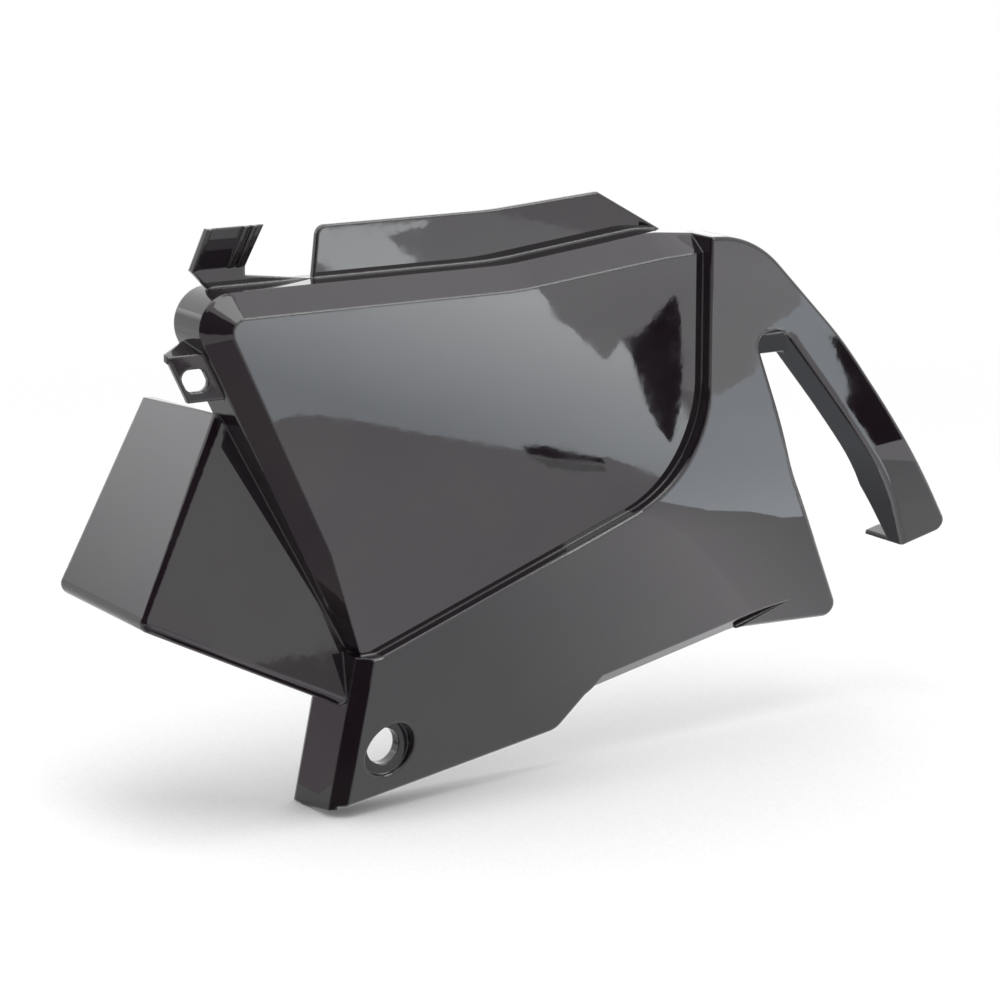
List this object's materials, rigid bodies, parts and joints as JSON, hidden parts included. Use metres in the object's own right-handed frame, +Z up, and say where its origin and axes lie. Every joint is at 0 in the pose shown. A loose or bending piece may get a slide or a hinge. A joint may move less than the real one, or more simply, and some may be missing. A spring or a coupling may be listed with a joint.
{
  "type": "motorcycle side cover",
  "caption": "Glossy black moulded side cover for a motorcycle, with a bevelled main panel, a stepped skirt, a curved rear arm, a front wing and mounting tabs.",
  "frame": {"origin": "centre of the lower bolt hole, on the seat of its counterbore", "axes": "+X towards the rear of the machine, -Y out of the show face along the bolt, +Z up"},
  "size_m": [0.3735, 0.0859, 0.2257],
  "materials": {
    "gloss_black": "high gloss moulded black plastic"
  },
  "bodies": {
    "root": {"side_cover": "gloss_black"}
  },
  "joints": []
}
